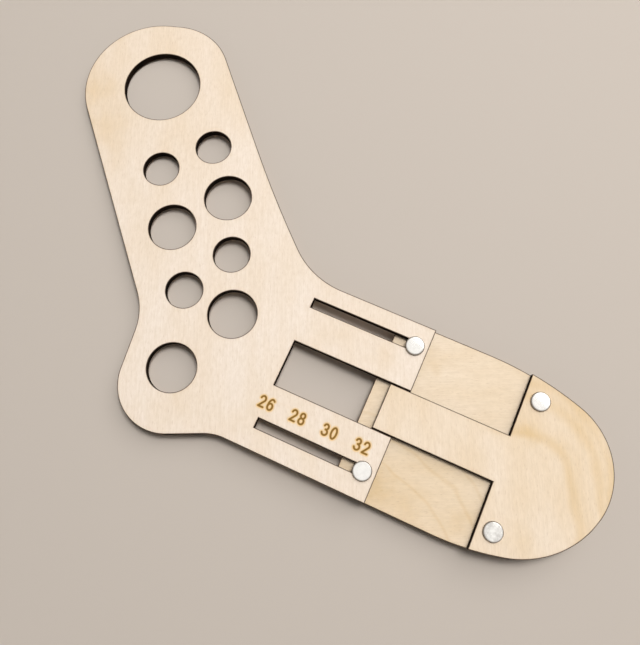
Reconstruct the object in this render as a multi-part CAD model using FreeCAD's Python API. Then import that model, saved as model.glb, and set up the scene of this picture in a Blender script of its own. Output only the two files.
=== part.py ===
import FreeCAD, Part
import math
import os

# Adjustable sock stretcher: a flat foot-and-leg form cut by laser from thin plywood.
# The leg plate carries two slots and an open channel. The toe plate's tongue runs in the
# channel, and four double-cap rivets hold toe plate and slide plate together, two of them
# through the slots, so that the toe slides out and in along the foot.
# Millimetres. Origin: centre of the hanging hole at the leg plate's underside.
# +X runs along the foot to the toe, +Y from sole to instep, +Z out of the numbered face.

Vector = FreeCAD.Vector

# Plywood
plate_thickness = 3.0
plate_gap = 0.1

# Leg, measured from the hanging hole along the leg and across it
hang_hole_diameter = 33.6
leg_slant = 47.0
leg_front = 30.9
leg_back = 34.8
head_front_rise = 20.2
head_front_radius = 26.3
head_back_rise = 53.1
head_back_radius = 32.3
shin_bend_down = 69.9
shin_bend_radius = 550.0
shin_foot_slope = 42.0
ankle_down = 98.4
ankle_radius = 26.9

# Foot, measured from the hanging hole along the foot and down to the sole
sole_drop = 127.4
foot_width = 71.9
prong_reach = 152.8
instep_radius = 35.5
heel_corner_reach = 48.7
heel_corner_drop = 19.4
heel_radius = 20.3
arch_reach = 90.4
arch_radius = 20.9

# Vent holes, each placed down the leg from the hanging hole and across it to the shin
small_vent_diameter = 15.2
large_vent_diameter = 19.9
small_vents = [(37.1, 13.2), (39.4, -11.0), (87.2, 6.5), (95.5, -16.2)]
large_vents = [(62.2, 12.3), (67.1, -13.6), (111.7, -0.5), (124.7, -29.5)]

# Slide: travel from the largest sock size to the smallest, and its running fits
travel = 40.0
stop_clearance = 0.1
channel_width = 19.2
tongue_play = 0.4
tongue_end_spare = 1.0
slot_side_play = 0.23
slot_end_spare = 2.3
slot_end_wall = 3.5
instep_slot_inset = 9.3
sole_slot_inset = 10.4
slide_end_margin = 9.0

# Toe, measured from the shoulders and from the edges of the foot
toe_rivet_setback = 6.1
toe_rivet_inset = 10.2
toe_sole_start = -1.5
toe_sole_radius = 101.7
toe_sole_tip_reach = 33.6
toe_sole_tip_rise = 8.3
toe_sole_tip_radius = 38.2
toe_instep_tip_reach = 48.0
toe_instep_tip_drop = 14.9
toe_instep_tip_radius = 29.3
toe_instep_start = 2.4
toe_instep_radius = 121.0

# Double-cap rivets, pressed from thin nickel-plated sheet
cap_diameter = 7.6
cap_height = 1.2
cap_rim_width = 0.9
cap_rim_drop = 0.5
sheet = 0.25
lip_width = 0.9
flange_play = 0.1
socket_diameter = 3.5
post_play = 0.05
post_head_spread = 0.4
rivet_hole_play = 0.1
cap_gap = 0.1
seat_clearance = 0.1

# How far a cutter stands past the faces it cuts
overrun = 1.0

# Levels
leg_bottom = 0.0
leg_top = leg_bottom + plate_thickness
slide_top = leg_bottom - plate_gap
slide_bottom = slide_top - plate_thickness
toe_top = slide_top + plate_thickness

# Foot edges and centre line
sole_y = -sole_drop
instep_y = sole_y + foot_width
foot_centre_y = sole_y + foot_width / 2
instep_slot_y = instep_y - instep_slot_inset
sole_slot_y = sole_y + sole_slot_inset
instep_toe_rivet_y = instep_y - toe_rivet_inset
sole_toe_rivet_y = sole_y + toe_rivet_inset

# Slide stations along the foot, with the toe drawn out as far as it goes
socket_radius = socket_diameter / 2
slot_outer_x = prong_reach - slot_end_wall
slot_rivet_x = slot_outer_x - stop_clearance - socket_radius
slot_inner_x = slot_rivet_x - travel - socket_radius - slot_end_spare
slot_width = socket_diameter + 2 * slot_side_play
channel_end_x = slot_inner_x
shoulder_x = prong_reach + stop_clearance + travel
tongue_end_x = shoulder_x - (prong_reach - channel_end_x - tongue_end_spare)
tongue_width = channel_width - 2 * tongue_play
slide_end_x = slot_rivet_x - slide_end_margin
toe_rivet_x = shoulder_x + toe_rivet_setback

# Where each rivet stands
instep_slot_rivet = (slot_rivet_x, instep_slot_y)
sole_slot_rivet = (slot_rivet_x, sole_slot_y)
instep_toe_rivet = (toe_rivet_x, instep_toe_rivet_y)
sole_toe_rivet = (toe_rivet_x, sole_toe_rivet_y)

# Rivet radii
cap_radius = cap_diameter / 2
lip_radius = cap_radius - lip_width
pocket_radius = cap_radius - 2 * sheet
flange_radius = pocket_radius - flange_play
bore_radius = socket_radius - sheet
post_radius = bore_radius - post_play
rivet_hole_radius = socket_radius + rivet_hole_play


def rounded_face(corners):
    """Face inside a closed outline of (point, radius) corners, each rounded by a tangent arc."""
    points = [point for point, radius in corners]
    radii = [radius for point, radius in corners]
    count = len(points)
    sides = [points[(i + 1) % count] - points[i] for i in range(count)]
    headings = [side * (1 / side.Length) for side in sides]
    half_turns = [headings[i - 1].getAngle(headings[i]) / 2 for i in range(count)]
    wanted = [radii[i] * math.tan(half_turns[i]) for i in range(count)]
    # A rounding keeps to its share of the sides beside it
    reach = list(wanted)
    for i in range(count):
        after = (i + 1) % count
        total = wanted[i] + wanted[after]
        if total > sides[i].Length:
            share = sides[i].Length / total
            reach[i] = min(reach[i], wanted[i] * share)
            reach[after] = min(reach[after], wanted[after] * share)
    starts = [points[i] - headings[i - 1] * reach[i] for i in range(count)]
    ends = [points[i] + headings[i] * reach[i] for i in range(count)]
    edges = []
    for i in range(count):
        if reach[i] > 0:
            radius = reach[i] / math.tan(half_turns[i])
            inward = (headings[i] - headings[i - 1]).normalize()
            middle = points[i] + inward * (radius / math.cos(half_turns[i]) - radius)
            edges.append(Part.Arc(starts[i], middle, ends[i]).toShape())
        after = (i + 1) % count
        if ends[i].distanceToPoint(starts[after]) > 0.001:
            edges.append(Part.LineSegment(ends[i], starts[after]).toShape())
    return Part.Face(Part.Wire(edges))


def plate(corners, bottom):
    """Plywood plate with a rounded outline of (x, y, radius) corners."""
    face = rounded_face([(Vector(x, y, bottom), radius) for x, y, radius in corners])
    return face.extrude(Vector(0, 0, plate_thickness))


def hole_cutter(x, y, radius, bottom):
    height = plate_thickness + 2 * overrun
    return Part.makeCylinder(radius, height, Vector(x, y, bottom - overrun))


def window_cutter(x_from, x_to, y_from, y_to, bottom):
    height = plate_thickness + 2 * overrun
    corner = Vector(x_from, y_from, bottom - overrun)
    return Part.makeBox(x_to - x_from, y_to - y_from, height, corner)


def revolved(profile):
    """Round piece about the Z axis from (radius, height) points."""
    points = [Vector(radius, 0, height) for radius, height in profile]
    face = Part.Face(Part.makePolygon(points + points[:1]))
    return face.revolve(Vector(0, 0, 0), Vector(0, 0, 1), 360)


def leg_point(down, across):
    """Place on the leg: down it from the hanging hole, and across it towards the shin."""
    slant = math.radians(leg_slant)
    x = down * math.cos(slant) + across * math.sin(slant)
    y = across * math.cos(slant) - down * math.sin(slant)
    return x, y


def leg_outline():
    shin_x, shin_y = leg_point(shin_bend_down, leg_front)
    instep_x = shin_x + (shin_y - instep_y) / math.tan(math.radians(shin_foot_slope))
    head_front = leg_point(-head_front_rise, leg_front)
    head_back = leg_point(-head_back_rise, -leg_back)
    ankle = leg_point(ankle_down, -leg_back)
    return [
        (prong_reach, sole_y, 0),
        (prong_reach, instep_y, 0),
        (instep_x, instep_y, instep_radius),
        (shin_x, shin_y, shin_bend_radius),
        (*head_front, head_front_radius),
        (*head_back, head_back_radius),
        (*ankle, ankle_radius),
        (heel_corner_reach, sole_y - heel_corner_drop, heel_radius),
        (arch_reach, sole_y, arch_radius),
    ]


def toe_outline(start_x):
    """Outline that slide plate and toe plate share, from start_x to the tip of the toe."""
    return [
        (start_x, sole_y, 0),
        (shoulder_x + toe_sole_start, sole_y, toe_sole_radius),
        (shoulder_x + toe_sole_tip_reach, sole_y + toe_sole_tip_rise, toe_sole_tip_radius),
        (shoulder_x + toe_instep_tip_reach, instep_y - toe_instep_tip_drop, toe_instep_tip_radius),
        (shoulder_x + toe_instep_start, instep_y, toe_instep_radius),
        (start_x, instep_y, 0),
    ]


def make_leg_plate():
    cutters = [hole_cutter(0, 0, hang_hole_diameter / 2, leg_bottom)]
    for vents, diameter in ((small_vents, small_vent_diameter), (large_vents, large_vent_diameter)):
        for down, across in vents:
            x, y = leg_point(down, across)
            cutters.append(hole_cutter(x, y, diameter / 2, leg_bottom))
    for slot_y in (instep_slot_y, sole_slot_y):
        low = slot_y - slot_width / 2
        high = slot_y + slot_width / 2
        cutters.append(window_cutter(slot_inner_x, slot_outer_x, low, high, leg_bottom))
    low = foot_centre_y - channel_width / 2
    high = foot_centre_y + channel_width / 2
    cutters.append(window_cutter(channel_end_x, prong_reach + overrun, low, high, leg_bottom))
    return plate(leg_outline(), leg_bottom).cut(cutters)


def make_toe_plate():
    cutters = []
    low = foot_centre_y - tongue_width / 2
    high = foot_centre_y + tongue_width / 2
    start_x = tongue_end_x - overrun
    cutters.append(window_cutter(start_x, shoulder_x, sole_y - overrun, low, slide_top))
    cutters.append(window_cutter(start_x, shoulder_x, high, instep_y + overrun, slide_top))
    for x, y in (instep_toe_rivet, sole_toe_rivet):
        cutters.append(hole_cutter(x, y, rivet_hole_radius, slide_top))
    return plate(toe_outline(tongue_end_x), slide_top).cut(cutters)


def make_slide_plate():
    cutters = []
    for x, y in (instep_slot_rivet, sole_slot_rivet, instep_toe_rivet, sole_toe_rivet):
        cutters.append(hole_cutter(x, y, rivet_hole_radius, slide_bottom))
    return plate(toe_outline(slide_end_x), slide_bottom).cut(cutters)


def make_cap():
    """Cap that stands up from height 0, its rim folded double and rolled in under a flange."""
    return revolved([
        (0, cap_height),
        (cap_radius - cap_rim_width, cap_height),
        (cap_radius, cap_height - cap_rim_drop),
        (cap_radius, 0),
        (lip_radius, 0),
        (lip_radius, sheet),
        (pocket_radius, sheet),
        (pocket_radius, 3 * sheet),
        (0, 3 * sheet),
    ])


def make_socket(length):
    """Open tube of the given length below height 0, its flange held inside a cap above it."""
    return revolved([
        (bore_radius, 2 * sheet),
        (flange_radius, 2 * sheet),
        (flange_radius, sheet),
        (socket_radius, sheet),
        (socket_radius, -length),
        (bore_radius, -length),
    ])


def make_post(length):
    """Post that reaches the given length below height 0, where its set tip spreads in a cone."""
    return revolved([
        (0, 2 * sheet),
        (flange_radius, 2 * sheet),
        (flange_radius, sheet),
        (post_radius, sheet),
        (post_radius, sheet - length),
        (post_radius + post_head_spread, -length),
        (0, -length),
    ])


def make_rivet(name, place, front_seat):
    """Four pressings of one set rivet between the slide plate's back and the front seat."""
    x, y = place
    grip = front_seat - slide_bottom
    post_length = grip + 3 * sheet
    socket_length = grip + sheet - seat_clearance
    front = {"front_cap": make_cap(), "post": make_post(post_length)}
    back = {"back_cap": make_cap(), "socket": make_socket(socket_length)}
    pieces = {}
    for part_name, piece in front.items():
        piece.translate(Vector(x, y, front_seat))
        pieces[name + "_" + part_name] = piece
    for part_name, piece in back.items():
        piece.rotate(Vector(0, 0, 0), Vector(1, 0, 0), 180)
        piece.translate(Vector(x, y, slide_bottom))
        pieces[name + "_" + part_name] = piece
    return pieces


nodes = {
    "leg_plate": make_leg_plate(),
    "toe_plate": make_toe_plate(),
    "slide_plate": make_slide_plate(),
}
nodes.update(make_rivet("instep_slot_rivet", instep_slot_rivet, leg_top + cap_gap))
nodes.update(make_rivet("sole_slot_rivet", sole_slot_rivet, leg_top + cap_gap))
nodes.update(make_rivet("instep_toe_rivet", instep_toe_rivet, toe_top))
nodes.update(make_rivet("sole_toe_rivet", sole_toe_rivet, toe_top))

os.makedirs("parts", exist_ok=True)
for node, shape in nodes.items():
    shape.exportStep("parts/" + node + ".step")
    box = shape.BoundBox
    print(node, shape.isValid(), len(shape.Solids), round(shape.Volume, 2),
          [round(v, 2) for v in (box.XMin, box.XMax, box.YMin, box.YMax, box.ZMin, box.ZMax)])
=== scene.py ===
import math

import bmesh
import bpy
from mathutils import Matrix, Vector, geometry, kdtree


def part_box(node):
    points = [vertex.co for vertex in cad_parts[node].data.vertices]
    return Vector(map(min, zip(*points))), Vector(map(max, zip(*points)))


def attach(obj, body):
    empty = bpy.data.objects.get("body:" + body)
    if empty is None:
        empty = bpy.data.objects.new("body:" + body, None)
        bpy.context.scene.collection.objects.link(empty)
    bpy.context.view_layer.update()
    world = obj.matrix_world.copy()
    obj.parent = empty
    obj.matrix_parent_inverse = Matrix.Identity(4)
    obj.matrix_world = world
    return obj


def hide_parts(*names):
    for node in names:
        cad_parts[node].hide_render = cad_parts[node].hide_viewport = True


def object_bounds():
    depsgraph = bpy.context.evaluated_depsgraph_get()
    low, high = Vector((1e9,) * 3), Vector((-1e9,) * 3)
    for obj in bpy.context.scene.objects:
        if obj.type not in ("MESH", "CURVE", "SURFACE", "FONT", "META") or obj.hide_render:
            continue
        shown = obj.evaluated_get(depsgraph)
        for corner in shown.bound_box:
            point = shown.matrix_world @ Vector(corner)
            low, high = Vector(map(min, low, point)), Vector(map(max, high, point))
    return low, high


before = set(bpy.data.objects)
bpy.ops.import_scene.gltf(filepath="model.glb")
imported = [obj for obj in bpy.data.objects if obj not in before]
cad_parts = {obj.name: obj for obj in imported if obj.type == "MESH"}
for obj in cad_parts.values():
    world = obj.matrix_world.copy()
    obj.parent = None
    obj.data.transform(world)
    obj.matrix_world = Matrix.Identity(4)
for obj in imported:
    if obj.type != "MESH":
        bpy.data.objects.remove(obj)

# Sock stretcher of laser-cut birch plywood, held together by four nickel-plated rivets.
# Metres, in the frame of the solids: +X runs along the foot to the toe, +Y from sole to
# instep, and +Z out of the numbered face.

solid_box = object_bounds()
mm = 0.001

# Places read from the solids
leg_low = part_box("leg_plate")[0]
last_slot_rivet = (sum(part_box("sole_slot_rivet_front_cap"), Vector()) / 2).xy
floor_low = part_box("sole_slot_rivet_back_cap")[0].z
object_middle = (solid_box[0] + solid_box[1]) / 2

# How far the toe slides between the last size and the first
toe_travel = 40 * mm

# Finest distance at which two points of a mesh are one, and the least upward part of the
# normal of a face that looks up
weld = 0.002 * mm
facing_up = 0.9

# Outlines: the least turn of a sharp corner, the turn of one step of a bowed arc, and how
# much longer than the next side a straight side is
sharp_corner = math.radians(25)
arc_step = math.radians(2.5)
straight_ratio = 1.6

# Cut edges: how far from the cut the arris, the dark line of singe and painted shade, and the
# smoke stain reach
arris = 0.1 * mm
singe_and_shade = 0.3 * mm
smoke = 1.6 * mm

# Size numbers burnt beside the sole slot, one for every second size
size_numbers = ("26", "28", "30", "32")
number_step = toe_travel / (len(size_numbers) - 1)
number_behind_rivet = 3.65 * mm
number_above_slot = 8.35 * mm
number_height = 5.0 * mm
digit_width = 2.75 * mm
digit_advance = 3.42 * mm
stroke_width = 0.76 * mm
burn_depth = 0.14 * mm
burn_slope = 0.1 * mm
halo_reach = 1.3 * mm

# Mesh of the numbers: turn in degrees of one step of a round stroke, the steps at which the
# strokes are sampled, and those between the points of the face round them
pen_turn = 6
stroke_step = 0.04 * mm
burn_grid = 0.16 * mm

# Pressed rivet caps: the fall of the crown to its edge, the radii of the shoulder and of the
# folded rim, how far in the rim's lip and how high the pocket inside it reach, and the ring
# on the shoulder over which a painted shade sets in, for the darker room the shoulder reflects
crown_sag = 0.13 * mm
shoulder = 0.62 * mm
fold = 0.25 * mm
rim_width = 0.9 * mm
pocket_height = 3 * fold
painted_rim_shade_ring = (-0.1 * mm, 0.4 * mm)
crown_steps = 8
shoulder_steps = 8
fold_steps = 4
cap_steps = 72

# Camera of the photograph, worked out from the ellipses that the nine round holes make
camera_place = (142.28 * mm, -123.95 * mm, 238 * mm)
camera_turn = (14.70, 1.98, 24.3)
camera_lens = 34.1
camera_sensor = 36

# Lamps stand beyond the instep, on the side that the photograph's shadows point away from
lamp_heading = math.radians(65.24)
lamp_distance = 1.5
room_white = "#FFFDFA"
even_light = 0.14

# Floor: half its width, and where it fades to white round the object
floor_half = 3.0
fade_start = 0.3
fade_end = 1.2

# Growth of the wood, in millimetres: the farthest band that a figure names, half the width
# over which a figure ends, a place beyond every plate, the length and the swing of the waves
# in the bands, and how far the borders of stains and of painted shade are ragged
figure_reach = 70
figure_fade = 8
beyond_plate = 500
wave_length = 22
wave_swing = 7.0
stain_rags = 12

# Width of a band's oval as a share of its length, which lies along the grain
oval_width = 0.82

# Sockets of a Mix node for colours, and of a Map Range node
SHARE, FIRST, SECOND, MIXED = 0, 6, 7, 2
VALUE, FROM_LOW, FROM_HIGH, TO_LOW, TO_HIGH = range(5)

# Result of the Delaunay tool that is triangles inside the borders
TRIANGLES_INSIDE = 2


def linear(code):
    """Linear RGBA from an sRGB hex code."""
    shares = [int(code[i:i + 2], 16) / 255 for i in (1, 3, 5)]
    return [s / 12.92 if s < 0.04045 else ((s + 0.055) / 1.055) ** 2.4 for s in shares] + [1]


def add(tree, kind, inputs, give=0, **settings):
    """A new shader node. Its inputs take values or other nodes' outputs, and it gives one
    output back, where it has any."""
    made = tree.nodes.new("ShaderNode" + kind)
    for name, value in settings.items():
        setattr(made, name, value)
    for name, value in inputs.items():
        if isinstance(value, bpy.types.NodeSocket):
            tree.links.new(value, made.inputs[name])
        else:
            made.inputs[name].default_value = value
    return made.outputs[give] if made.outputs else None


def new_material(name):
    """An empty material and its node tree."""
    material = bpy.data.materials.new(name)
    material.use_nodes = True
    material.node_tree.nodes.clear()
    return material, material.node_tree


def drawn_noise(tree, place, size, detail, roughness=0.5):
    """Noise whose marks have a size of their own along each axis of the place."""
    place = add(tree, "VectorMath", {0: place, 1: [1 / s for s in size]}, operation="MULTIPLY")
    return add(tree, "TexNoise", {
        "Vector": place, "Scale": 1.0, "Detail": detail, "Roughness": roughness,
    })


def growth_bands(tree, grain, squareness, figure, figure_end):
    """Share of the warm tone in the bands of growth round the heart of a figure, which slow
    waves bend."""
    waves = add(tree, "TexNoise", {"Vector": grain, "Scale": 1 / wave_length, "Detail": 2.0})
    bend = add(tree, "Math", {0: waves, 1: 0.5}, operation="SUBTRACT")
    oval = (oval_width, 1.0, 0.0)
    spread = add(tree, "VectorMath", {0: grain, 1: oval}, operation="MULTIPLY")
    spread = add(tree, "VectorMath", {0: spread}, operation="ABSOLUTE")
    sides = add(tree, "SeparateXYZ", {"Vector": spread}).node.outputs
    along = add(tree, "Math", {0: sides["X"], 1: squareness}, operation="POWER")
    across = add(tree, "Math", {0: sides["Y"], 1: squareness}, operation="POWER")
    from_heart = add(tree, "Math", {0: along, 1: across}, operation="ADD")
    from_heart = add(tree, "Math", {0: from_heart, 1: 1 / squareness}, operation="POWER")
    from_heart = add(tree, "Math", {
        0: bend, 1: wave_swing, 2: from_heart,
    }, operation="MULTIPLY_ADD")
    reach_share = add(tree, "Math", {0: from_heart, 1: figure_reach}, operation="DIVIDE")
    bands = add(tree, "ValToRGB", {"Fac": reach_share})
    ramp = bands.node.color_ramp
    ramp.interpolation = "EASE"
    ramp.elements.remove(ramp.elements[1])
    for distance, share in figure:
        ramp.elements.new(distance / figure_reach).color = (share, share, share, 1)

    side = add(tree, "SeparateXYZ", {"Vector": grain}, "Y")
    ending = add(tree, "MapRange", {
        VALUE: side, FROM_LOW: figure_end - figure_fade, FROM_HIGH: figure_end + figure_fade,
        TO_LOW: 1.0, TO_HIGH: 0.0,
    }, interpolation_type="SMOOTHSTEP")
    return add(tree, "Math", {0: bands, 1: ending}, operation="MULTIPLY")


def stain_and_shade_tones(tree, place, grain, stains_and_shade):
    """Shares of the warm tone in stains and patches of painted shade, with borders torn by noise
    of 6 mm. The noise also shifts a patch by half of its reach, which the middle of the patch
    makes up for."""
    rags = add(tree, "TexNoise", {"Vector": grain, "Scale": 1 / 6, "Detail": 3.0}, "Color")
    torn = add(tree, "VectorMath", {
        0: rags, 1: (stain_rags * mm, stain_rags * mm, 0.0), 2: place,
    }, operation="MULTIPLY_ADD")
    tones = []
    for x, y, reach, share in stains_and_shade:
        middle = ((x + stain_rags / 2) * mm, (y + stain_rags / 2) * mm, 0.0)
        away = add(tree, "VectorMath", {0: torn, 1: middle}, "Value", operation="DISTANCE")
        tones.append(add(tree, "MapRange", {
            VALUE: away, FROM_LOW: 0.0, FROM_HIGH: reach * mm, TO_LOW: share, TO_HIGH: 0.0,
        }, interpolation_type="SMOOTHSTEP"))
    return tones


def laser_marks_and_cut_shade(tree, grain):
    """Layers on a face, as (share, colour): a smoke stain that the laser leaves beside the
    cuts, a dark line along them that is partly the laser's singe and partly painted shade of the
    gap at the cut, a yellow scorch round the numbers, and the patchy brown of their strokes. Each
    fades out between two distances, in millimetres."""
    cut_gap = add(tree, "Attribute", {}, "Fac", attribute_name="cut_gap")
    stroke_gap = add(tree, "Attribute", {}, "Fac", attribute_name="stroke_gap")
    patches = add(tree, "TexNoise", {"Vector": grain, "Scale": 1.6, "Detail": 3.0})
    burnt = add(tree, "Mix", {
        SHARE: patches, FIRST: linear("#70501D"), SECOND: linear("#9C763A"),
    }, MIXED, data_type="RGBA")
    layers = []
    for gap, near, far, share, colour in (
        (cut_gap, 0.1, smoke / mm, 0.07, linear("#B98A4E")),
        # Dark line along the cut: partly singe, and partly painted shade that makes it darker and
        # wider than singe alone
        (cut_gap, 0.14, 0.46, 0.94, linear("#3E2612")),
        (stroke_gap, 0.3, halo_reach / mm, 0.75, linear("#EBBF68")),
        (stroke_gap, 0.24, 0.5, 1.0, burnt),
    ):
        fading = add(tree, "MapRange", {
            VALUE: gap, FROM_LOW: near, FROM_HIGH: far, TO_LOW: share, TO_HIGH: 0.0,
        }, interpolation_type="SMOOTHSTEP")
        layers.append((fading, colour))
    return layers


def birch_veneer(
    name, pale, warm, grain_heading, heart, stains_and_shade,
    figure=(), squareness=2, figure_end=beyond_plate,
):
    """Rotary-cut birch veneer, sanded and left bare, which gives a pale, nearly even and matt
    face: soft bands of growth round the heart of its figure, cloudy tone, fine fibres and
    short pores along the grain. figure gives the bands as (distance from the heart, share of
    the warm tone). They are ovals with a squareness of 2, and squarer with more, and fade out
    across the grain at figure_end, which is beyond the plate unless it is given. Stains and
    patches of painted shade are (x, y, reach, share). Distances are in millimetres."""
    material, tree = new_material(name)
    place = add(tree, "TexCoord", {}, "Object")

    # Millimetres from the heart of the figure, first axis along the grain
    along = Vector((math.cos(grain_heading), math.sin(grain_heading)))
    grain = add(tree, "Mapping", {
        "Vector": place, "Scale": (1 / mm, 1 / mm, 1 / mm), "Rotation": (0, 0, -grain_heading),
        "Location": (-along.dot(heart), -along.cross(heart), 0),
    })

    # Tone: the bands, clouds 35 mm along the grain and 12 mm across it, and the stains and patches
    # of painted shade
    tone = growth_bands(tree, grain, squareness, figure, figure_end)
    clouds = drawn_noise(tree, grain, (35, 12, 12), 3.0)
    cloud_tone = add(tree, "MapRange", {
        VALUE: clouds, FROM_LOW: 0.35, FROM_HIGH: 0.7, TO_HIGH: 0.3,
    })
    for extra in [cloud_tone] + stain_and_shade_tones(tree, place, grain, stains_and_shade):
        tone = add(tree, "Math", {0: tone, 1: extra}, operation="ADD")
    tone = add(tree, "Math", {0: tone, 1: 1.0}, operation="MINIMUM")

    # Fibres 14 mm long and 0.6 mm across, coarser than real ones so that they show
    fibres = drawn_noise(tree, grain, (14, 0.6, 1), 2.0, 0.7)
    fibre_tone = add(tree, "MapRange", {
        VALUE: fibres, FROM_LOW: 0.35, FROM_HIGH: 0.7, TO_HIGH: 0.17,
    })

    # Mottle 3 mm long and 1.3 mm across, where the fibres dip in and out of the cut
    mottle = drawn_noise(tree, grain, (3, 1.3, 1), 3.0, 0.6)
    mottle_tone = add(tree, "MapRange", {
        VALUE: mottle, FROM_LOW: 0.36, FROM_HIGH: 0.66, TO_HIGH: 0.19,
    })

    # Pores cut lengthwise, 2 mm long and 0.3 mm across, drawn three times as wide as they are
    pores = drawn_noise(tree, grain, (2, 0.3, 1), 1.0)
    pore_tone = add(tree, "MapRange", {
        VALUE: pores, FROM_LOW: 0.62, FROM_HIGH: 0.78, TO_HIGH: 0.26,
    })

    # Bare wood, and the layers over it from the lowest up
    wood = add(tree, "Mix", {
        SHARE: tone, FIRST: linear(pale), SECOND: linear(warm),
    }, MIXED, data_type="RGBA")
    fibre_shade = linear("#CDB593")
    pore_brown = linear("#A98052")
    layers = [(mottle_tone, fibre_shade), (fibre_tone, fibre_shade), (pore_tone, pore_brown)]
    for share, colour in layers + laser_marks_and_cut_shade(tree, grain):
        wood = add(tree, "Mix", {
            SHARE: share, FIRST: wood, SECOND: colour,
        }, MIXED, data_type="RGBA")

    # Sanded relief: fibres stand up a few hundredths of a millimetre and pores lie open
    relief = add(tree, "Math", {0: fibres, 1: pore_tone}, operation="SUBTRACT")
    bump = add(tree, "Bump", {"Height": relief, "Strength": 0.35, "Distance": 0.03 * mm})
    polish = add(tree, "MapRange", {
        VALUE: fibres, FROM_LOW: 0.2, FROM_HIGH: 0.8, TO_LOW: 0.55, TO_HIGH: 0.7,
    })
    surface = add(tree, "BsdfPrincipled", {
        "Base Color": wood, "Roughness": polish, "IOR": 1.45, "Specular IOR Level": 0.25,
        "Normal": bump,
    })
    add(tree, "OutputMaterial", {"Surface": surface})
    return material


def laser_char(name):
    """Birch plywood edge as the laser leaves it, which gives a matt, almost black wall: three
    charred veneers with black glue lines, the middle one open end grain and darker still, and
    upright streaks from the cut."""
    material, tree = new_material(name)
    place = add(tree, "TexCoord", {}, "Object")

    # Streaks, nearly three to the millimetre, up through the plate, and patches of 6 mm
    streaks = drawn_noise(tree, place, (mm / 2.8, mm / 2.8, 4 * mm), 3.0)
    patches = add(tree, "TexNoise", {"Vector": place, "Scale": 0.16 / mm, "Detail": 2.0})
    tone = add(tree, "Math", {0: streaks, 1: patches}, operation="MULTIPLY")
    tone = add(tree, "MapRange", {VALUE: tone, FROM_LOW: 0.13, FROM_HIGH: 0.42})
    long_grain = add(tree, "Mix", {
        SHARE: tone, FIRST: linear("#0C0805"), SECOND: linear("#2E1E12"),
    }, MIXED, data_type="RGBA")
    end_grain = add(tree, "Mix", {
        SHARE: tone, FIRST: linear("#080503"), SECOND: linear("#1C120B"),
    }, MIXED, data_type="RGBA")

    # Height from the plate's middle as a share of its thickness: the core reaches to a sixth
    rise = add(tree, "Attribute", {}, "Fac", attribute_name="rise")
    from_middle = add(tree, "Math", {0: rise, 1: 0.5}, operation="SUBTRACT")
    from_middle = add(tree, "Math", {0: from_middle}, operation="ABSOLUTE")
    outer = add(tree, "MapRange", {VALUE: from_middle, FROM_LOW: 0.155, FROM_HIGH: 0.175})
    glue_gap = add(tree, "Math", {0: from_middle, 1: 1 / 6}, operation="SUBTRACT")
    glue_gap = add(tree, "Math", {0: glue_gap}, operation="ABSOLUTE")
    glue = add(tree, "MapRange", {
        VALUE: glue_gap, FROM_LOW: 0.008, FROM_HIGH: 0.03, TO_LOW: 0.85, TO_HIGH: 0.0,
    })
    char = add(tree, "Mix", {
        SHARE: outer, FIRST: end_grain, SECOND: long_grain,
    }, MIXED, data_type="RGBA")
    char = add(tree, "Mix", {
        SHARE: glue, FIRST: char, SECOND: linear("#050302"),
    }, MIXED, data_type="RGBA")

    bump = add(tree, "Bump", {"Height": tone, "Strength": 0.5, "Distance": 0.08 * mm})
    soot = add(tree, "MapRange", {VALUE: tone, TO_LOW: 0.98, TO_HIGH: 0.8})
    surface = add(tree, "BsdfPrincipled", {
        "Base Color": char, "Roughness": soot, "IOR": 1.45, "Specular IOR Level": 0.08,
        "Normal": bump,
    })
    add(tree, "OutputMaterial", {"Surface": surface})
    return material


def nickel_plate(name, haze):
    """Bright nickel on pressed steel, which gives a slightly warm mirror with fine rubbing
    marks, a faint orange peel from the pressing, a grey ring of painted shade on the shoulder,
    for the darker room that it reflects, and as much dull haze as haze says."""
    material, tree = new_material(name)
    place = add(tree, "TexCoord", {}, "Object")

    # Rubbing marks 2 mm long and nearly seven to the millimetre, peel of 1 mm, haze of 2 mm
    marks = drawn_noise(tree, place, (2 * mm, mm / 6.6, mm / 2), 4.0)
    peel = add(tree, "TexNoise", {"Vector": place, "Scale": 1 / mm, "Detail": 2.0})
    film = add(tree, "TexNoise", {"Vector": place, "Scale": 0.5 / mm, "Detail": 2.0})
    film_share = add(tree, "MapRange", {
        VALUE: film, FROM_LOW: 0.35, FROM_HIGH: 0.65, TO_HIGH: haze,
    })
    nickel = add(tree, "Mix", {
        SHARE: film_share, FIRST: linear("#F9F7F3"), SECOND: linear("#B9B4AF"),
    }, MIXED, data_type="RGBA")
    # Painted shade: the shoulder's metal is mixed towards grey, standing in for the darker
    # surroundings it would reflect
    painted_rim_shade = add(tree, "Attribute", {}, "Fac", attribute_name="painted_rim_shade")
    nickel = add(tree, "Mix", {
        SHARE: painted_rim_shade, FIRST: nickel, SECOND: linear("#857E76"),
    }, MIXED, data_type="RGBA")
    relief = add(tree, "Math", {0: peel, 1: marks}, operation="ADD")
    bump = add(tree, "Bump", {"Height": relief, "Strength": 0.07, "Distance": 0.02 * mm})
    polish = add(tree, "MapRange", {
        VALUE: marks, FROM_LOW: 0.3, FROM_HIGH: 0.75, TO_LOW: 0.12, TO_HIGH: 0.24,
    })
    surface = add(tree, "BsdfPrincipled", {
        "Base Color": nickel, "Metallic": 1.0, "Roughness": polish, "Normal": bump,
    })
    add(tree, "OutputMaterial", {"Surface": surface})
    return material


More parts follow.
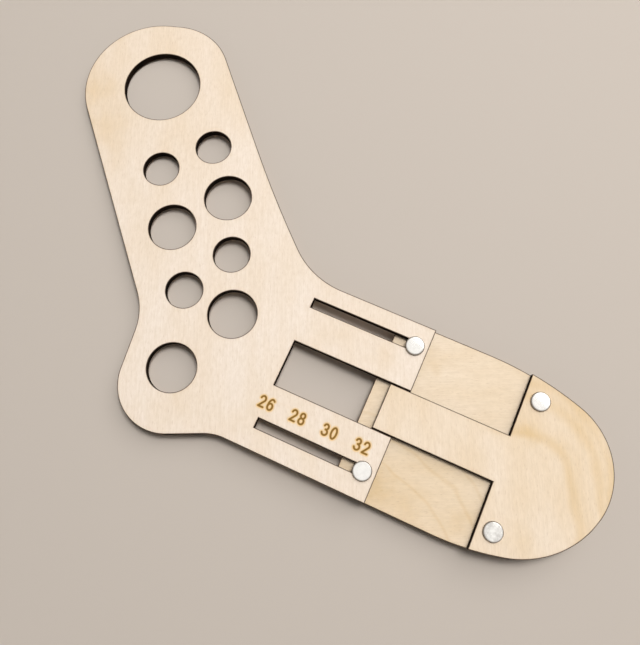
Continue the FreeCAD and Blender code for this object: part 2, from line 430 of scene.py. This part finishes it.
def cut_outlines(solid):
    """Outlines of a plate's upper face as lists of flat points, with the wood on their left."""
    shape = bmesh.new()
    shape.from_mesh(solid.data)
    bmesh.ops.remove_doubles(shape, verts=shape.verts, dist=weld)
    shape.normal_update()
    top = max(vert.co.z for vert in shape.verts)
    for face in shape.faces:
        face.tag = face.normal.z > facing_up and face.calc_center_median().z > top - weld
    following = {}
    for face in shape.faces:
        for corner in face.loops:
            if face.tag and sum(other.tag for other in corner.edge.link_faces) == 1:
                following[corner.vert] = corner.link_loop_next.vert
    outlines = []
    while following:
        start, vert = following.popitem()
        outline = [start.co.xy]
        while vert != start:
            outline.append(vert.co.xy)
            vert = following.pop(vert)
        outlines.append(outline)
    shape.free()
    return outlines


def bowed(outline):
    """The outline with its facets bowed back into smooth arcs. Straight sides and corners stay."""
    count = len(outline)
    sides = [outline[(i + 1) % count] - outline[i] for i in range(count)]
    arriving = []
    leaving = []
    for i in range(count):
        before = sides[i - 1].normalized()
        after = sides[i].normalized()
        longer, shorter = sorted((sides[i - 1], sides[i]), key=lambda side: -side.length)
        if before.angle(after) < sharp_corner:
            straight_on = longer.length > straight_ratio * shorter.length
            before = after = longer.normalized() if straight_on else (before + after).normalized()
        arriving.append(before)
        leaving.append(after)
    smooth = []
    for i in range(count):
        first = outline[i]
        last = outline[(i + 1) % count]
        start_pull = leaving[i] * sides[i].length
        end_pull = arriving[(i + 1) % count] * sides[i].length
        steps = max(1, math.ceil(leaving[i].angle(arriving[(i + 1) % count]) / arc_step))
        for k in range(steps):
            t = k / steps
            smooth.append(
                first * (2 * t ** 3 - 3 * t ** 2 + 1) + start_pull * (t ** 3 - 2 * t ** 2 + t)
                + last * (3 * t ** 2 - 2 * t ** 3) + end_pull * (t ** 3 - t ** 2)
            )
    return smooth


def inset(outline, distance):
    """The outline moved into the wood, mitred at its corners."""
    moved = []
    for i, point in enumerate(outline):
        before = (point - outline[i - 1]).normalized()
        after = (outline[(i + 1) % len(outline)] - point).normalized()
        mitre = Vector((-before.y - after.y, before.x + after.x)) / (1 + before.dot(after))
        moved.append(point + mitre * distance)
    return moved


def signed_area(outline):
    """Area inside the outline, negative for a hole, which runs clockwise."""
    return sum(point.cross(outline[i - 1]) for i, point in enumerate(outline)) / -2


def corner_turns(outline):
    """True for each point of the outline that is a sharp corner."""
    return [
        (point - outline[i - 1]).angle(outline[(i + 1) % len(outline)] - point) > sharp_corner
        for i, point in enumerate(outline)
    ]


def arc(centre, radii, start, end):
    """Points of an elliptical arc, from one angle in degrees to another."""
    steps = max(2, round(abs(end - start) / pen_turn))
    angles = [math.radians(start + (end - start) * k / steps) for k in range(steps + 1)]
    return [
        Vector((centre[0] + radii[0] * math.cos(a), centre[1] + radii[1] * math.sin(a)))
        for a in angles
    ]


# Plain sans-serif digits as pen strokes, from 0 to 1 across and up
digit_strokes = {
    "0": [arc((0.5, 0.5), (0.5, 0.5), 0, 360)],
    "2": [arc((0.5, 0.73), (0.47, 0.27), 170, -32) + [Vector((0.0, 0.0)), Vector((1.0, 0.0))]],
    "3": [
        arc((0.47, 0.76), (0.43, 0.24), 165, -90),
        arc((0.47, 0.265), (0.52, 0.265), 90, -165),
    ],
    "6": [
        arc((0.52, 0.3), (0.48, 0.3), 0, 360),
        arc((0.62, 0.5), (0.6, 0.5), 52, 90) + arc((0.62, 0.42), (0.6, 0.58), 90, 196),
    ],
    "8": [
        arc((0.5, 0.765), (0.42, 0.235), 0, 360),
        arc((0.5, 0.265), (0.5, 0.265), 0, 360),
    ],
}


def number_strokes():
    """Pen strokes of all the size numbers, where they stand on the leg plate."""
    pen_width = digit_width - stroke_width
    pen_height = number_height - stroke_width
    strokes = []
    for place, number in enumerate(size_numbers):
        behind = number_behind_rivet + (len(size_numbers) - 1 - place) * number_step
        middle = last_slot_rivet + Vector((-behind, number_above_slot))
        for i, digit in enumerate(number):
            left = middle.x + (i - 0.5) * digit_advance - pen_width / 2
            base = middle.y - pen_height / 2
            for stroke in digit_strokes[digit]:
                strokes.append([
                    Vector((left + p.x * pen_width, base + p.y * pen_height)) for p in stroke
                ])
    return strokes


def burn_points(strokes):
    """Grid of points round the strokes, each with its distance from the nearest stroke."""
    if not strokes:
        return []
    samples = []
    for stroke in strokes:
        for first, last in zip(stroke, stroke[1:]):
            count = max(1, math.ceil((last - first).length / stroke_step))
            samples += [first.lerp(last, k / count) for k in range(count + 1)]
    near = kdtree.KDTree(len(samples))
    for i, sample in enumerate(samples):
        near.insert(sample.to_3d(), i)
    near.balance()
    margin = Vector((halo_reach, halo_reach))
    low = Vector((min(s.x for s in samples), min(s.y for s in samples))) - margin
    high = Vector((max(s.x for s in samples), max(s.y for s in samples))) + margin
    points = []
    for row in range(math.ceil((high.y - low.y) / burn_grid)):
        shift = row % 2 / 2
        for column in range(math.ceil((high.x - low.x) / burn_grid)):
            point = low + Vector((column + shift, row)) * burn_grid
            gap = near.find(point.to_3d())[2]
            if gap < halo_reach:
                points.append((point, gap))
    return points


def eased(value, low, high):
    """0 below low, 1 above high, and a smooth step between."""
    share = min(1, max(0, (value - low) / (high - low)))
    return share * share * (3 - 2 * share)


def plate_point(shape, flat, z, cut, stroke=halo_reach, rise=1.0):
    """A point of a plate's mesh, which keeps its distances to the nearest cut and the nearest
    burnt stroke in millimetres, and its height as a share of the plate's thickness."""
    vert = shape.verts.new((flat.x, flat.y, z))
    layers = shape.verts.layers.float
    vert[layers["cut_gap"]] = cut / mm
    vert[layers["stroke_gap"]] = stroke / mm
    vert[layers["rise"]] = rise
    return vert


def cut_edge(shape, outline, low, high):
    """Skin of a cut edge all round an outline, with a charred wall and a tiny arris. Gives
    back its lowest and its highest ring of points, which lie in the plate's two faces."""
    # Section through the edge, from the lower face round to the upper one
    section = [
        (smoke, low), (singe_and_shade, low), (arris, low), (0, low + arris),
        (0, high - arris), (arris, high), (singe_and_shade, high), (smoke, high),
    ]
    charred = range(2, 5)
    creased = range(2, 6)
    rows = []
    for gap, z in section:
        rise = (z - low) / (high - low)
        rows.append([
            plate_point(shape, flat, z, gap, rise=rise) for flat in inset(outline, gap)
        ])
    count = len(outline)
    for level in range(len(section) - 1):
        lower, upper = rows[level], rows[level + 1]
        for i in range(count):
            after = (i + 1) % count
            face = shape.faces.new((lower[i], lower[after], upper[after], upper[i]))
            face.material_index = int(level in charred)
            face.smooth = True
    for level in creased:
        for i in range(count):
            shape.edges.get((rows[level][i], rows[level][(i + 1) % count])).smooth = False
    for i, sharp in enumerate(corner_turns(outline)):
        if sharp:
            for level in charred:
                shape.edges.get((rows[level][i], rows[level + 1][i])).smooth = False
    return rows[0], rows[-1]


def fill_face(shape, rings, inner, facing_down):
    """Face of a plate between the rings of points, with the inner points in it. Every hole is
    convex, so a triangle with all its corners on one hole's rim lies in the hole."""
    corners = [vert for ring in rings for vert in ring] + inner
    borders = []
    holes = []
    start = 0
    for ring in rings:
        borders += [(start + i, start + (i + 1) % len(ring)) for i in range(len(ring))]
        if signed_area([vert.co.xy for vert in ring]) < 0:
            holes.append(range(start, start + len(ring)))
        start += len(ring)
    flat = [vert.co.xy for vert in corners]
    filled = geometry.delaunay_2d_cdt(flat, borders, [], TRIANGLES_INSIDE, weld / 10)
    triangles, origins = filled[2], filled[3]
    for triangle in triangles:
        picked = [origins[i][0] for i in triangle]
        if any(all(i in hole for i in picked) for hole in holes):
            continue
        verts = [corners[i] for i in picked]
        if facing_down:
            verts.reverse()
        shape.faces.new(verts).smooth = True


def dress_plate(node, body, veneer, char, strokes=()):
    """Plywood plate on a solid's own outlines: sanded faces, charred walls, and burnt strokes
    sunk into the upper face."""
    low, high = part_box(node)
    shape = bmesh.new()
    for layer in ("cut_gap", "stroke_gap", "rise"):
        shape.verts.layers.float.new(layer)
    lower_rings = []
    upper_rings = []
    for outline in cut_outlines(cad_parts[node]):
        lower, upper = cut_edge(shape, bowed(outline), low.z, high.z)
        lower_rings.append(lower)
        upper_rings.append(upper)
    slope_foot = (stroke_width - burn_slope) / 2
    slope_top = (stroke_width + burn_slope) / 2
    burnt = []
    for flat, gap in burn_points(strokes):
        sunk = burn_depth * (1 - eased(gap, slope_foot, slope_top))
        burnt.append(plate_point(shape, flat, high.z - sunk, smoke, gap))
    fill_face(shape, lower_rings, [], facing_down=True)
    fill_face(shape, upper_rings, burnt, facing_down=False)

    mesh = bpy.data.meshes.new(node + "_dressed")
    shape.to_mesh(mesh)
    shape.free()
    mesh.materials.append(veneer)
    mesh.materials.append(char)
    plate = bpy.data.objects.new(node + "_dressed", mesh)
    bpy.context.scene.collection.objects.link(plate)
    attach(plate, body)
    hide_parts(node)


def spin(name, profile):
    """Mesh of a profile of (radius, height) points turned round the Z axis."""
    shape = bmesh.new()
    turns = [2 * math.pi * k / cap_steps for k in range(cap_steps)]
    rows = []
    for radius, height in profile:
        if radius == 0:
            rows.append([shape.verts.new((0, 0, height))] * cap_steps)
            continue
        ring = [(radius * math.cos(a), radius * math.sin(a), height) for a in turns]
        rows.append([shape.verts.new(point) for point in ring])
    for inner, outer in zip(rows, rows[1:]):
        for k in range(cap_steps):
            after = (k + 1) % cap_steps
            corners = dict.fromkeys((inner[k], outer[k], outer[after], inner[after]))
            shape.faces.new(corners).smooth = True
    mesh = bpy.data.meshes.new(name)
    shape.to_mesh(mesh)
    shape.free()
    return mesh


def cap_profile(radius, height):
    """Half section of a pressed cap that stands on its rim, from the top of its crown out over
    the shoulder and the folded rim, and in to the roof of the pocket."""
    crown_edge = radius - shoulder
    profile = []
    for k in range(crown_steps + 1):
        t = k / crown_steps
        profile.append((crown_edge * t, height - crown_sag * t ** 2))
    for k in range(1, shoulder_steps + 1):
        angle = math.pi / 2 * (1 - k / shoulder_steps)
        rise = height - crown_sag - shoulder + shoulder * math.sin(angle)
        profile.append((crown_edge + shoulder * math.cos(angle), rise))
    for k in range(fold_steps + 1):
        angle = -math.pi / 2 * k / fold_steps
        profile.append((radius - fold + fold * math.cos(angle), fold + fold * math.sin(angle)))
    lip = radius - rim_width
    profile += [(lip + fold / 2, 0), (lip, fold / 2), (lip, pocket_height), (0, pocket_height)]
    return profile


def rivet_cap(node, nickel):
    """Pressed cap of a double-cap rivet: a nearly flat crown, a round shoulder and a rim folded
    in under it. It fills the box of its solid."""
    low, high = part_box(node)
    centre = (low + high) / 2
    radius = (high.x - low.x) / 2
    mesh = spin(node + "_pressed", cap_profile(radius, high.z - low.z))
    front = node.endswith("front_cap")
    for vert in mesh.vertices:
        z = low.z + vert.co.z if front else high.z - vert.co.z
        vert.co = (centre.x + vert.co.x, centre.y + vert.co.y, z)
    if front:
        mesh.flip_normals()
    mesh.materials.append(nickel)
    crown_edge = radius - shoulder
    # Share of painted shade at each point, rising over the shoulder's ring
    painted_rim_shade = mesh.attributes.new("painted_rim_shade", "FLOAT", "POINT")
    for vert, share in zip(mesh.vertices, painted_rim_shade.data):
        past_crown = (vert.co.xy - centre.xy).length - crown_edge
        share.value = eased(past_crown, *painted_rim_shade_ring)
    cap = bpy.data.objects.new(node + "_pressed", mesh)
    bpy.context.scene.collection.objects.link(cap)
    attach(cap, "toe")
    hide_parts(node)


def pale_floor():
    """Plain pale sheet under the object. It dips a little to the toe, so that the head of the
    leg and the rivets behind the foot both come down to it, at every size. Far from the object
    it fades to the white of the room."""
    rest_x = last_slot_rivet.x - toe_travel
    slope = -floor_low / (rest_x - leg_low.x)
    shape = bmesh.new()
    corners = ((-1, -1), (1, -1), (1, 1), (-1, 1))
    shape.faces.new([
        shape.verts.new((x * floor_half, y * floor_half, slope * (leg_low.x - x * floor_half)))
        for x, y in corners
    ])
    mesh = bpy.data.meshes.new("floor")
    shape.to_mesh(mesh)
    shape.free()

    material, tree = new_material("pale_floor")
    surface = add(tree, "BsdfPrincipled", {"Base Color": linear("#C6BBB0"), "Roughness": 0.9})
    place = add(tree, "TexCoord", {}, "Object")
    away = add(tree, "VectorMath", {0: place, 1: object_middle}, "Value", operation="DISTANCE")
    fade = add(tree, "MapRange", {
        VALUE: away, FROM_LOW: fade_start, FROM_HIGH: fade_end,
    }, interpolation_type="SMOOTHSTEP")
    seen = add(tree, "LightPath", {}, "Is Camera Ray")
    fade = add(tree, "Math", {0: fade, 1: seen}, operation="MULTIPLY")
    room = add(tree, "Emission", {"Color": linear(room_white), "Strength": 1.0})
    mixed = add(tree, "MixShader", {0: fade, 1: surface, 2: room})
    add(tree, "OutputMaterial", {"Surface": mixed})
    mesh.materials.append(material)
    floor = bpy.data.objects.new("floor", mesh)
    bpy.context.scene.collection.objects.link(floor)


def soft_room():
    """Pale room: white to the eye and in reflections, and a plain even light for the rest."""
    world = bpy.data.worlds.new("soft_room")
    world.use_nodes = True
    tree = world.node_tree
    tree.nodes.clear()
    path = add(tree, "LightPath", {}).node.outputs
    seen = add(tree, "Math", {
        0: path["Is Camera Ray"], 1: path["Is Glossy Ray"],
    }, operation="ADD")
    seen = add(tree, "Math", {
        0: seen, 1: path["Is Transmission Ray"],
    }, operation="ADD", use_clamp=True)
    even = add(tree, "Background", {"Color": linear(room_white), "Strength": even_light})
    white = add(tree, "Background", {"Color": linear(room_white), "Strength": 1.0})
    mixed = add(tree, "MixShader", {0: seen, 1: even, 2: white})
    add(tree, "OutputWorld", {"Surface": mixed})
    bpy.context.scene.world = world


def lamp(name, elevation, size, power, mirrored=True):
    """Square lamp that faces the object from an elevation in degrees. The image of one that
    isn't mirrored stays out of the rivet caps, whose crowns it would burn out to white."""
    height = math.radians(elevation)
    heading = Vector((math.cos(lamp_heading), math.sin(lamp_heading)))
    outward = (heading * math.cos(height)).to_3d() + Vector((0, 0, math.sin(height)))
    light = bpy.data.lights.new(name, "AREA")
    light.shape = "SQUARE"
    light.size = size
    light.energy = power
    holder = bpy.data.objects.new(name, light)
    holder.location = object_middle + outward * lamp_distance
    holder.rotation_euler = (-outward).to_track_quat("-Z", "Y").to_euler()
    holder.visible_glossy = mirrored
    bpy.context.scene.collection.objects.link(holder)


def photo_camera():
    """Hand-held view from above the number 32, turned so that the foot runs down to the right."""
    camera = bpy.data.cameras.new("camera")
    camera.sensor_width = camera_sensor
    camera.lens = camera_lens
    camera.clip_start = 0.01
    holder = bpy.data.objects.new("camera", camera)
    holder.location = camera_place
    holder.rotation_euler = [math.radians(angle) for angle in camera_turn]
    bpy.context.scene.collection.objects.link(holder)
    bpy.context.scene.camera = holder


photo_camera()
pale_floor()
soft_room()

# Lamps that light the object at a plain level, at which its colours render about as written
lamp("key", elevation=75, size=0.48, power=16.2, mirrored=False)
lamp("side", elevation=45, size=1.2, power=9.2)

# The slide plate's grain lies level in the photograph. The leg's and the toe's stands at right
# angles to it, as they were cut from the sheet the other way round
level_grain = math.radians(camera_turn[2])
upright_grain = level_grain + math.pi / 2

leg_veneer = birch_veneer(
    "sanded_birch_leg", "#F8E9DA", "#E8CDA8", upright_grain, Vector((50, -300)),
    stains_and_shade=[
        (-30, 0, 110, 0.3), (69, -126, 16, 0.25), (93, -123, 12, 0.2), (-13, -29, 16, 0.35),
        (-25, -13, 12, 0.3), (116, -73, 9, 0.2), (137, -74, 9, 0.25),
    ],
)
toe_veneer = birch_veneer(
    "sanded_birch_toe", "#F5E3CE", "#E2C18D", upright_grain, Vector((200.6, -109)),
    stains_and_shade=[(198.7, -78.6, 7, 0.35), (209, -79.5, 8, 0.15), (208, -118, 12, 0.2)],
    figure=[
        (0, 0.05), (12, 0.0), (22.5, 0.05), (25.5, 0.46), (28.5, 0.22), (32, 0.12),
        (35, 0.42), (37, 0.25), (39, 0.4), (42, 0.2), (46, 0.34), (60, 0.34),
    ],
    squareness=3, figure_end=2,
)
slide_veneer = birch_veneer(
    "sanded_birch_slide", "#F4E1C9", "#DFBF8E", level_grain, Vector((139.2, -160.2)),
    # The first and the third patch, beside the leg's two prong ends, are painted shadow that the
    # leg plate's edge casts on the slide plate
    stains_and_shade=[
        (154, -119, 10, 0.4), (168, -124, 8, 0.2), (156, -68, 9, 0.3), (186, -120, 7, 0.2),
    ],
    figure=[
        (0, 0.34), (38, 0.34), (44, 0.24), (46.2, 0.22), (47.2, 0.46), (48.2, 0.2),
        (52, 0.13), (55.4, 0.13), (56.4, 0.42), (57.4, 0.16), (61.7, 0.13), (62.7, 0.34),
        (63.7, 0.12), (70, 0.0),
    ],
)
charred_edge = laser_char("laser_charred_plywood_edge")
bright_nickel = nickel_plate("bright_nickel_plate", 0.12)
# A hazier copy of the nickel, darker partly from its haze and partly as painted shade
hazed_and_shaded_nickel = nickel_plate("hazed_and_shaded_nickel_plate", 0.5)

dress_plate("leg_plate", "leg", leg_veneer, charred_edge, number_strokes())
dress_plate("toe_plate", "toe", toe_veneer, charred_edge)
dress_plate("slide_plate", "toe", slide_veneer, charred_edge)

# One front cap is dull, partly from haze of its own and partly as painted shade for the
# weaker reflection it shows where it lies; the other pressings are bright
for node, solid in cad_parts.items():
    if node.endswith("_cap"):
        rivet_cap(node, hazed_and_shaded_nickel if node == "sole_toe_rivet_front_cap" else bright_nickel)
    elif node.endswith(("_post", "_socket")):
        solid.data.materials.clear()
        solid.data.materials.append(bright_nickel)

bpy.context.scene.view_settings.view_transform = "Standard"
